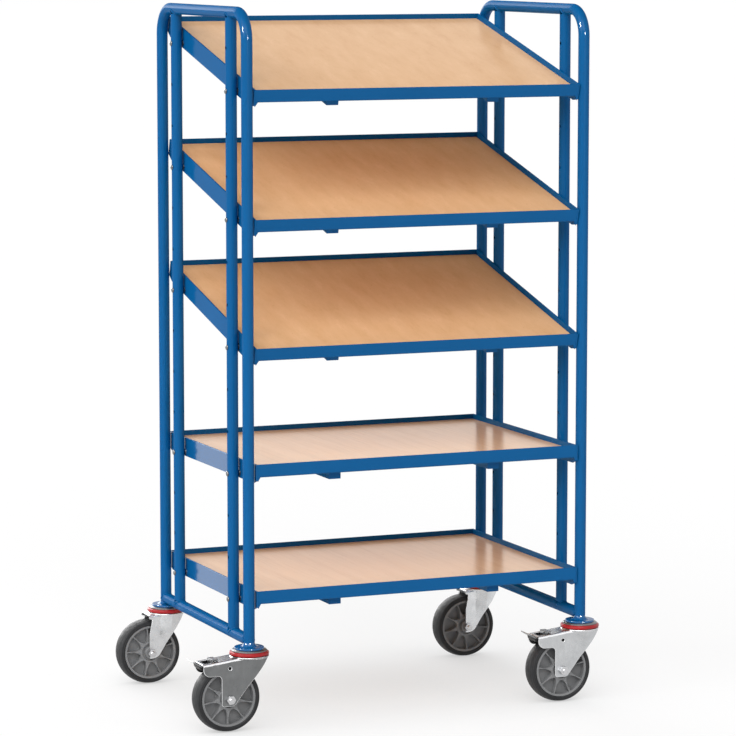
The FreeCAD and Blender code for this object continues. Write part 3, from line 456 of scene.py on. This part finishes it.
def add_piece(name, mesh, body, nodes=(), place=Matrix()):
    """Puts a mesh on a body, in place of the nodes that it stands for."""
    piece = bpy.data.objects.new(name, mesh)
    bpy.context.collection.objects.link(piece)
    piece.matrix_world = place
    flat = piece.modifiers.new("even_normals", "WEIGHTED_NORMAL")
    flat.keep_sharp = True
    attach(piece, body)
    if nodes:
        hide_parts(*nodes)
    return piece


def edge_room(edges):
    """The widest rounding that each edge has room for, from the lengths of the edges that it meets."""
    straight_on, shared_part, free_part, widest = -0.8, 0.48, 0.95, 1.0
    chosen = set(edges)
    limits = {}
    for vert in {vert for edge in edges for vert in edge.verts}:
        ways = [(e.other_vert(vert).co - vert.co).normalized() for e in vert.link_edges if e in chosen]
        runs_on = len(ways) == 2 and ways[0].dot(ways[1]) < straight_on
        limit = widest
        for edge in vert.link_edges:
            if runs_on and edge in chosen:
                continue
            shared = chosen.intersection(edge.other_vert(vert).link_edges)
            limit = min(limit, edge.calc_length() * (shared_part if shared else free_part))
        limits[vert] = limit
    return {edge: min(limits[vert] for vert in edge.verts) for edge in edges}


def softened(name, width, segments=2, spare=1.0):
    """A copy of a node's form, rounded along the sharp edges that have room for it.

    The rounded faces take the second material.
    """
    bm = bmesh.new()
    bm.from_mesh(frame["nodes"][name].data)
    bmesh.ops.remove_doubles(bm, verts=bm.verts, dist=2e-6)
    bmesh.ops.dissolve_limit(bm, angle_limit=math.radians(0.5), verts=bm.verts, edges=bm.edges)
    edges = [e for e in bm.edges if e.is_manifold and e.calc_face_angle(0) > SHARP_ANGLE]
    room = edge_room(edges)
    edges = [edge for edge in edges if room[edge] >= width * spare]
    made = bmesh.ops.bevel(bm, geom=edges, offset=width, segments=segments, profile=0.5, affect="EDGES",
                           clamp_overlap=False)
    for face in made["faces"]:
        face.material_index = 1
    return bm


def stand_in(bm, name, body, *materials):
    """Puts a finished form in place of a node."""
    return add_piece(f"{name}_form", mesh_from(bm, f"{name}_form", *materials), body, [name])


def soften_node(name, body, width, material, edge=None, spare=1.0):
    """Puts a softened copy in place of a node, its rounded edges in a material of their own or the same."""
    return stand_in(softened(name, width, spare=spare), name, body, material, edge or material)


def paint_node(name, material):
    mesh = frame["nodes"][name].data
    mesh.materials.clear()
    mesh.materials.append(material)


# End frames

def loop_path():
    """Points along an end loop: front leg, bend, top, bend, rear leg."""
    corner_y, corner_z = LEG_HALF - BEND_RADIUS, TOP_HEIGHT - BEND_RADIUS
    steps = 18
    path = [Vector((0, -LEG_HALF, LEG_FOOT))]
    for end in ENDS.values():
        for step in range(steps + 1):
            angle = math.pi / 2 * (step if end < 0 else steps - step) / steps
            y = end * (corner_y + BEND_RADIUS * math.cos(angle))
            path.append(Vector((0, y, corner_z + BEND_RADIUS * math.sin(angle))))
    path.append(Vector((0, LEG_HALF, LEG_FOOT)))
    return path


def drilled_skin(bm, radius, low, high, holes):
    """A tube's skin along Z with round holes along X through both walls. Gives back the edge loops.

    The skin is a grid of columns; a square of cells round each hole is left out and filled by rings
    of faces that run from the square to the hole's edge.
    """
    columns, reach, rows = 32, 4, 8
    spread_angle = 2 * math.pi * reach / columns
    half_square = radius * spread_angle
    angles = circle_angles(columns)

    def at(angle, height):
        return bm.verts.new((radius * math.cos(angle), radius * math.sin(angle), height))

    levels = [[at(a, low(radius * math.sin(a))) for a in angles]]
    for hole in holes:
        for row in range(rows + 1):
            levels.append([at(a, hole - half_square + 2 * half_square * row / rows) for a in angles])
    levels.append([at(a, high(radius * math.sin(a))) for a in angles])

    def near(column):
        """Whether a cell right of a column lies in the square round a hole, at the front or the back."""
        return any((column - start + reach) % columns < 2 * reach for start in (0, columns // 2))

    for index, (lower, upper) in enumerate(zip(levels, levels[1:])):
        in_band = index % (rows + 1) != 0
        for column in range(columns):
            if in_band and near(column):
                continue
            after = (column + 1) % columns
            bm.faces.new((lower[column], lower[after], upper[after], upper[column]))

    edges = []
    for number, hole in enumerate(holes):
        first = 1 + number * (rows + 1)
        for start, base in ((0, 0), (columns // 2, math.pi)):
            left, right = start - reach, start + reach
            square = [(column, 0) for column in range(left, right)]
            square += [(right, row) for row in range(rows)]
            square += [(column, rows) for column in range(right, left, -1)]
            square += [(left, row) for row in range(rows, 0, -1)]
            outer = [levels[first + row][column % columns] for column, row in square]
            inner, between = [], []
            for column, row in square:
                across = (column - start) / reach
                along = 2 * row / rows - 1
                turn = math.atan2(along, across)
                y, z = HOLE_RADIUS * math.cos(turn), HOLE_RADIUS * math.sin(turn)
                bend = math.asin(y / radius)
                inner.append(at(base + bend, hole + z))
                middle = (bend + across * spread_angle) / 2
                between.append(at(base + middle, hole + (z + along * half_square) / 2))
            band(bm, outer, between)
            band(bm, between, inner)
            edges.append(inner)
    return edges, levels[0], levels[-1]


def saddle(offset):
    """Distance from a tube's axis to its skin, beside the middle by an offset."""
    return math.sqrt(max(TUBE_RADIUS ** 2 - offset * offset, 0))


def drilled_post():
    """A shelf post with open holes and both ends shaped to the tubes that they meet."""
    bm = bmesh.new()
    top = TOP_HEIGHT - RAIL_HEIGHT
    holes = [FIRST_HOLE_RISE + number * HOLE_PITCH for number in range(HOLE_COUNT)]
    skins = []
    for radius in (TUBE_RADIUS, TUBE_RADIUS - TUBE_WALL):
        skins.append(drilled_skin(bm, radius, saddle, lambda y: top - saddle(y), holes))
    (outer, low_outer, high_outer), (inner, low_inner, high_inner) = skins
    pairs = list(zip(outer, inner)) + [(low_outer, low_inner), (high_outer, high_inner)]
    for first, second in pairs:
        band(bm, first, second)
    bmesh.ops.recalc_face_normals(bm, faces=bm.faces)
    return mesh_from(bm, "drilled_post", BLUE)


def coped_rail():
    """A bottom rail with both ends shaped to the legs."""
    bm = bmesh.new()
    rings = []
    for end in ENDS.values():
        ring = []
        for angle in circle_angles(SEGMENTS):
            x, z = TUBE_RADIUS * math.cos(angle), TUBE_RADIUS * math.sin(angle)
            ring.append((x, end * (LEG_HALF - saddle(x)), z))
        rings.append(ring)
    loft(bm, rings)
    tidy(bm)
    return mesh_from(bm, "coped_rail", BLUE)


def weld_bead(bm, meeting, branch, main):
    """A rippled weld along the saddle where a branch tube meets a main tube."""
    steps, round_steps = 96, 10
    bead, ripple, ripple_turn = 0.0017, 0.00018, 2.1
    outwards, upwards = 0.0002, 0.0006
    across = branch.cross(main)
    path, sides = [], []
    for angle in circle_angles(steps):
        side = main * math.cos(angle) + across * math.sin(angle)
        rise = TUBE_RADIUS * abs(math.cos(angle))
        path.append(meeting + side * (TUBE_RADIUS + outwards) + branch * (rise + upwards))
        sides.append(side)

    def width(index):
        return bead + ripple * math.sin(index * ripple_turn)

    sweep(bm, path, width, lambda i: sides[i], True, round_steps)


def end_frames(shiny):
    """Both end frames, whose loops join the shiny pieces."""
    path = loop_path()
    post, rail = drilled_post(), coped_rail()
    for name, side in SIDES.items():
        shift = Matrix.Translation((side * FRAME_HALF, 0, 0))
        bm = bmesh.new()
        sweep(bm, path, lambda i: TUBE_RADIUS, lambda i: X_AXIS)
        tidy(bm)
        tube = mesh_from(bm, f"{name}_loop_tube", BLUE)
        shiny.objects.link(add_piece(f"{name}_loop_tube", tube, "frame", [f"{name}_end_loop"], shift))
        lift = shift @ Matrix.Translation((0, 0, RAIL_HEIGHT))
        add_piece(f"{name}_rail_tube", rail, "frame", [f"{name}_bottom_rail"], lift)
        for end_name, end in ENDS.items():
            place = lift @ Matrix.Translation((0, end * POST_HALF, 0))
            add_piece(f"{name}_{end_name}_post_tube", post, "frame", [f"{name}_{end_name}_post"], place)
        beads = bmesh.new()
        for end in ENDS.values():
            weld_bead(beads, Vector((0, end * LEG_HALF, RAIL_HEIGHT)), Y_AXIS * -end, Z_AXIS)
            weld_bead(beads, Vector((0, end * POST_HALF, RAIL_HEIGHT)), Z_AXIS, Y_AXIS)
            weld_bead(beads, Vector((0, end * POST_HALF, TOP_HEIGHT)), -Z_AXIS, Y_AXIS)
        tidy(beads)
        welds = mesh_from(beads, f"{name}_frame_welds", BLUE)
        add_piece(f"{name}_frame_welds", welds, "frame", place=shift)


# Shelves

def side_plates(number):
    """The side plates of a shelf, with a painted sheen outside on a level one."""
    name = f"shelf_{number}_sides"
    bm = softened(name, ROUNDING["sides"])
    for face in bm.faces:
        # Painted sheen: a level shelf's outer faces take the glossier paint.
        outer = face.normal.x * face.calc_center_median().x > 0
        face.material_index = 1 if outer and number in SHEEN_SHELVES else 0
    stand_in(bm, name, "frame", BLUE, SHEEN_BLUE)


def board(number):
    """The board of a shelf: decor on its broad faces, an edge band round them."""
    name = f"shelf_{number}_board"
    least_facing = 0.8
    bm = softened(name, ROUNDING["board"], segments=3)
    broad = max(bm.faces, key=lambda face: face.calc_area()).normal.copy()
    for face in bm.faces:
        face.material_index = 0 if abs(face.normal.dot(broad)) > least_facing else 1
    stand_in(bm, name, "frame", BEECH, EDGE)


def shelf_trays():
    for number in SHELVES:
        soften_node(f"shelf_{number}_rails", "frame", ROUNDING["rails"], BLUE)
        side_plates(number)
        board(number)
    soften_node("shelf_crossbars", "frame", ROUNDING["crossbars"], BLUE)


def bolt_places(offset):
    """Places of the shelf fasteners: Z of each points inwards, from the given distance off the middle."""
    places = []
    for side in SIDES.values():
        inwards = Matrix.Rotation(math.radians(-90 * side), 4, "Y")
        for holes in SHELF_HOLES:
            for end, number in zip(ENDS.values(), holes):
                height = RAIL_HEIGHT + FIRST_HOLE_RISE + (HOLE_COUNT - number) * HOLE_PITCH
                shift = Matrix.Translation((side * offset, end * POST_HALF, height))
                places.append(shift @ inwards)
    return places


def bolt_form(bm):
    """A round head bolt along Z with its head's seat at the origin."""
    head, rim, dome, neck, spare = 0.0065, 0.0008, 0.0026, 0.002, 0.0025
    length = 2 * TUBE_RADIUS + WASHER_THICK + SIDE_THICK + NUT_HEIGHT + spare
    outline = [(BOLT_RADIUS, 0), (head, 0, 0.0003), (head, -rim, 0.0004)]
    for step in range(1, ARC_STEPS + 1):
        angle = math.pi / 2 * step / ARC_STEPS
        outline.append((max(head * math.cos(angle), AXIS_GAP), -rim - dome * math.sin(angle)))
    outline += [(AXIS_GAP, neck), (BOLT_RADIUS, neck)]
    lathe(bm, outline, segments=28)
    threaded_rod(bm, BOLT_RADIUS, neck, length)


def washer_form(bm):
    bore = BOLT_RADIUS + BOLT_CLEARANCE
    lathe(bm, [
        (bore, 0), (WASHER_RADIUS, 0, 0.0003), (WASHER_RADIUS, WASHER_THICK, 0.0003), (bore, WASHER_THICK),
    ])


def nut_form(bm):
    hex_prism(bm, NUT_FLATS, NUT_HEIGHT, BOLT_RADIUS)


def shelf_fasteners():
    sets = {
        "shelf_bolts": (bolt_form, FRAME_HALF + TUBE_RADIUS),
        "shelf_washers": (washer_form, FRAME_HALF - TUBE_RADIUS),
        "shelf_nuts": (nut_form, SHELF_HALF - SIDE_THICK),
    }
    for name, (form, offset) in sets.items():
        bm = stamped(form, bolt_places(offset))
        add_piece(f"{name}_set", mesh_from(bm, f"{name}_set", DARK_STEEL), "frame", [name])


# Castors

def head_places():
    places = []
    for side in SIDES.values():
        for end in ENDS.values():
            places.append(Matrix.Translation((side * FRAME_HALF, end * LEG_HALF, CASTOR_HEIGHT)))
    return places


def flange_form(bm):
    """A welded disc with a smooth neck up to the leg."""
    thick, neck, bore, lap = 0.0045, 0.0105, 0.006, 0.0005
    outline = [(bore, 0), (FLANGE_RADIUS, 0, 0.0008), (FLANGE_RADIUS, thick, 0.0015)]
    for step in range(ARC_STEPS + 1):
        angle = math.pi / 2 * step / ARC_STEPS
        outline.append((TUBE_RADIUS + neck * (1 - math.sin(angle)), thick + neck * (1 - math.cos(angle))))
    outline += [(TUBE_RADIUS - lap, thick + neck), (bore, thick + neck)]
    lathe(bm, outline, segments=64)


def head_plate_form(bm):
    """The pressed head plate, with a shallow ring pressed into its bevel."""
    edge, sleeve, bore = HEAD_RADIUS, 0.0115, 0.0061
    lathe(bm, [
        (bore, 0), (edge - 0.0055, 0, 0.0012), (edge - 0.0022, -0.0010, 0.0012), (edge, -0.0026, 0.001),
        (edge, SEAL_TOP, 0.0006), (sleeve, SEAL_TOP), (sleeve, DISH_TOP, 0.0005), (bore, DISH_TOP),
    ], segments=72)


def seal_form(bm):
    """The dust seal: a soft ring with a rounded lip and a fine groove above it."""
    lip, groove, inner = SEAL_RADIUS, SEAL_RADIUS - 0.003, 0.0345
    lathe(bm, [
        (inner, SEAL_TOP), (groove - 0.0005, SEAL_TOP, 0.0012), (groove, SEAL_TOP - 0.0012, 0.0004),
        (lip - 0.0002, SEAL_TOP - 0.0016, 0.0024), (lip, SEAL_FOOT + 0.0018, 0.0026),
        (groove - 0.0005, SEAL_FOOT, 0.0012), (inner, SEAL_FOOT),
    ], segments=96)


def king_bolt_form(bm):
    """The bolt under the crown: a dished collar and a hexagon head."""
    top, flats, head_height = 0.024, 0.019, 0.007
    dish_foot = DISH_TOP - DISH_THICK
    lathe(bm, [
        (AXIS_GAP, top), (KING_RADIUS, top), (KING_RADIUS, DISH_TOP), (DISH_RADIUS, DISH_TOP, 0.0012),
        (DISH_RADIUS, dish_foot, 0.0015), (AXIS_GAP, dish_foot),
    ])
    head = bmesh.new()
    hex_prism(head, flats, head_height, 0)
    merge(bm, head, Matrix.Translation((0, 0, dish_foot - head_height)))


def castor_heads(shiny):
    """The castors' fixed upper pieces; the flanges get painted highlights and join the shiny pieces."""
    forms = {
        # Painted highlights: the flanges take the glossier copy of the blue paint.
        "leg_flanges": (flange_form, SHEEN_BLUE),
        "castor_head_plates": (head_plate_form, DARK_ZINC),
        "swivel_seals": (seal_form, RED),
        "king_bolts": (king_bolt_form, STEEL),
    }
    for name, (form, material) in forms.items():
        bm = stamped(form, head_places())
        piece = add_piece(f"{name}_set", mesh_from(bm, f"{name}_set", material), "frame", [name])
        if material is SHEEN_BLUE:
            shiny.objects.link(piece)
    paint_node("swivel_balls", STEEL)


def tyre_mesh():
    """A tyre about Z: crowned tread with a fine mould line, round shoulders and a stepped side wall."""
    bm = bmesh.new()
    bead, side = RIM_RADIUS + 0.0001, TYRE_HALF
    shoulder = WHEEL_RADIUS - 0.0022
    half = [
        (bead, side - 0.002), (bead + 0.0022, side, 0.0008), (bead + 0.0045, side, 0.0006),
        (bead + 0.0052, side - 0.0006, 0.0006), (shoulder - 0.0022, side - 0.0009, 0.0018),
        (shoulder - 0.0003, side - 0.0047, 0.003), (WHEEL_RADIUS - 0.0005, 0.4 * side, 0.02),
        (WHEEL_RADIUS - 0.00008, 0.0006), (WHEEL_RADIUS, 0.0003),
    ]
    mirrored = [(corner[0], -corner[1], *corner[2:]) for corner in reversed(half)]
    lathe(bm, half + mirrored, WHEEL_SEGMENTS)
    tidy(bm)
    return mesh_from(bm, "tyre_form", TYRE)


def axle_mesh():
    """The axle along Z: a hexagon head, the bolt and a nut with the threaded end in front of it."""
    nut, head, tip, thread_gap, pitch = 0.010, 0.0075, 0.004, 0.00005, 0.00175
    rod_end = CHEEK_OUTER + nut + tip
    pieces = [
        (lambda bm: hex_prism(bm, AXLE_FLATS, nut, AXLE_RADIUS), CHEEK_OUTER),
        (lambda bm: hex_prism(bm, AXLE_FLATS, head, 0), -CHEEK_OUTER - head),
        (lambda bm: threaded_rod(bm, AXLE_RADIUS - thread_gap, -CHEEK_OUTER, rod_end, pitch), 0),
    ]
    parts = bmesh.new()
    for build, shift in pieces:
        merge(parts, stamped(build, [Matrix.Translation((0, 0, shift))]))
    return mesh_from(parts, "axle_form", STEEL)


def fork_plate(name):
    """A fork in the zinc of its painted light or shade, with painted highlights along its edges and folds.
    """
    # Painted light and shade: the rear forks take the lit zinc, the front left one the dark zinc.
    plate = FORK_SHADE_TONES.get(name, LIT_ZINC)
    fork = soften_node(f"{name}_fork", f"{name}_castor", ROUNDING["fork"], plate, HIGHLIGHT_ZINC)
    least, most = HIGHLIGHT_SLOPES
    # Painted highlight: faces between these slopes take the brightest zinc.
    for face in fork.data.polygons:
        if least < face.normal.z < most:
            face.material_index = 1


def castors():
    tyre, axle = tyre_mesh(), axle_mesh()
    across = Matrix.Rotation(math.radians(90), 4, "X")
    for end_name in ENDS:
        for side_name in SIDES:
            name = f"{end_name}_{side_name}"
            place = Matrix.Translation(middle_of(f"{name}_axle_sleeve")) @ across
            add_piece(f"{name}_tyre_form", tyre, f"{name}_wheel", [f"{name}_tyre"], place)
            add_piece(f"{name}_axle_form", axle, f"{name}_castor", [f"{name}_axle"], place)
            soften_node(f"{name}_rim", f"{name}_wheel", ROUNDING["rim"], RIM, spare=1.5)
            fork_plate(name)
            paint_node(f"{name}_axle_sleeve", STEEL)
            if end_name == "front":
                body = f"{name}_brake"
                soften_node(f"{name}_brake_pedal", body, ROUNDING["pedal"], PEDAL_ZINC, DARK_ZINC)
                soften_node(f"{name}_brake_shoe", body, ROUNDING["shoe"], BLACK)
                paint_node(f"{name}_brake_pin", STEEL)


# Stage

# Direction, strength and width in degrees of each lamp; the narrow ones only make highlights
LAMPS = {
    "key": ((0.45, 1.0, -0.85), 1.85, 45),
    "left": ((1.0, 0.15, -0.55), 1.7, 50),
    "rear": ((0.1, -1.0, -0.35), 2.0, 40),
}
GLINTS = {
    "left_glint": ((1.0, 0.0, -0.36), 9, 14),
    "front_glint": ((0.0, 1.0, -0.14), 7, 14),
}

# Light from the surroundings, the floor's half width and how much of it glows, and its painted shadow:
# how far round a point it looks, how bright the most covered floor is and where the open floor starts
WORLD_LEVEL = 0.25
FLOOR_HALF = 80
FLOOR_WHITE = 0.8
SHADE_REACH, SHADE_LEVEL, SHADE_END = 0.5, 0.62, 0.9

# The photograph's camera
CAMERA_PLACE = (-3.32441, -7.91857, 1.86218)
CAMERA_YAW, CAMERA_PITCH = math.radians(22.7320), math.radians(7.0477)
CAMERA_LENS, CAMERA_SENSOR, CAMERA_REACH = 173.01, 36, 300


def background_rays(owner):
    """1 on the rays that show the background: from the camera, mirrored or through glass."""
    rays = node(owner, "ShaderNodeLightPath")
    seen = rays.outputs["Is Camera Ray"]
    for kind in ("Is Glossy Ray", "Is Transmission Ray"):
        either = node(owner, "ShaderNodeMath")
        either.operation = "MAXIMUM"
        join(owner, seen, either.inputs[0])
        join(owner, rays.outputs[kind], either.inputs[1])
        seen = either.outputs[0]
    return seen


def floor():
    """A pale floor that reads as white and keeps the object's shadow, with a painted shadow close under it.
    """
    half = FLOOR_HALF
    mesh = bpy.data.meshes.new("floor")
    corners = [(-half, -half, 0), (half, -half, 0), (half, half, 0), (-half, half, 0)]
    mesh.from_pydata(corners, [], [(0, 1, 2, 3)])
    plane = bpy.data.objects.new("floor", mesh)
    bpy.context.collection.objects.link(plane)
    material = bpy.data.materials.new("floor")
    material.use_nodes = True
    material.node_tree.nodes.clear()
    matt = node(material, "ShaderNodeBsdfDiffuse", Color=(0.95, 0.95, 0.95, 1))
    white = node(material, "ShaderNodeEmission", Color=(1, 1, 1, 1))
    # Painted shadow: the glowing part dims where the object covers the floor.
    open_sky = node(material, "ShaderNodeAmbientOcclusion", Distance=SHADE_REACH)
    shade = spread(material, open_sky.outputs["AO"], SHADE_LEVEL, 1.0, bottom=0, top=SHADE_END)
    join(material, shade, white.inputs["Strength"])
    mix = node(material, "ShaderNodeMixShader")
    share = spread(material, background_rays(material), 0, FLOOR_WHITE, bottom=0, top=1)
    join(material, share, mix.inputs["Fac"])
    join(material, matt.outputs["BSDF"], mix.inputs[1])
    join(material, white.outputs["Emission"], mix.inputs[2])
    output = node(material, "ShaderNodeOutputMaterial")
    join(material, mix.outputs["Shader"], output.inputs["Surface"])
    mesh.materials.append(material)


def world():
    """Even white surroundings, seen as white by the camera and in reflections."""
    surroundings = bpy.data.worlds.new("studio")
    bpy.context.scene.world = surroundings
    surroundings.use_nodes = True
    background = surroundings.node_tree.nodes["Background"]
    background.inputs["Color"].default_value = (1, 1, 1, 1)
    strength = spread(surroundings, background_rays(surroundings), WORLD_LEVEL, 1.0, bottom=0, top=1)
    join(surroundings, strength, background.inputs["Strength"])


def sun(name, towards, strength, width):
    data = bpy.data.lights.new(name, "SUN")
    data.energy = strength
    data.angle = math.radians(width)
    lamp = bpy.data.objects.new(name, data)
    lamp.rotation_euler = Vector(towards).to_track_quat("-Z", "Y").to_euler()
    bpy.context.collection.objects.link(lamp)
    return lamp


def lamps(shiny):
    """Soft lamps for everything, and narrow ones that only make highlights on the shiny pieces."""
    for name, settings in LAMPS.items():
        sun(name, *settings)
    for name, settings in GLINTS.items():
        lamp = sun(name, *settings)
        lamp.visible_diffuse = False
        lamp.light_linking.receiver_collection = shiny


def photo_camera():
    """The photograph's viewpoint: far off, a little above the top shelf, seen from the front left."""
    data = bpy.data.cameras.new("photo")
    data.lens = CAMERA_LENS
    data.sensor_width = CAMERA_SENSOR
    data.clip_end = CAMERA_REACH
    camera = bpy.data.objects.new("photo", data)
    camera.location = CAMERA_PLACE
    camera.rotation_euler = (math.pi / 2 - CAMERA_PITCH, 0, -CAMERA_YAW)
    bpy.context.collection.objects.link(camera)
    bpy.context.scene.camera = camera


shiny_pieces = bpy.data.collections.new("shiny_pieces")
end_frames(shiny_pieces)
shelf_trays()
shelf_fasteners()
castor_heads(shiny_pieces)
castors()
floor()
world()
lamps(shiny_pieces)
photo_camera()
bpy.context.scene.view_settings.view_transform = "Standard"
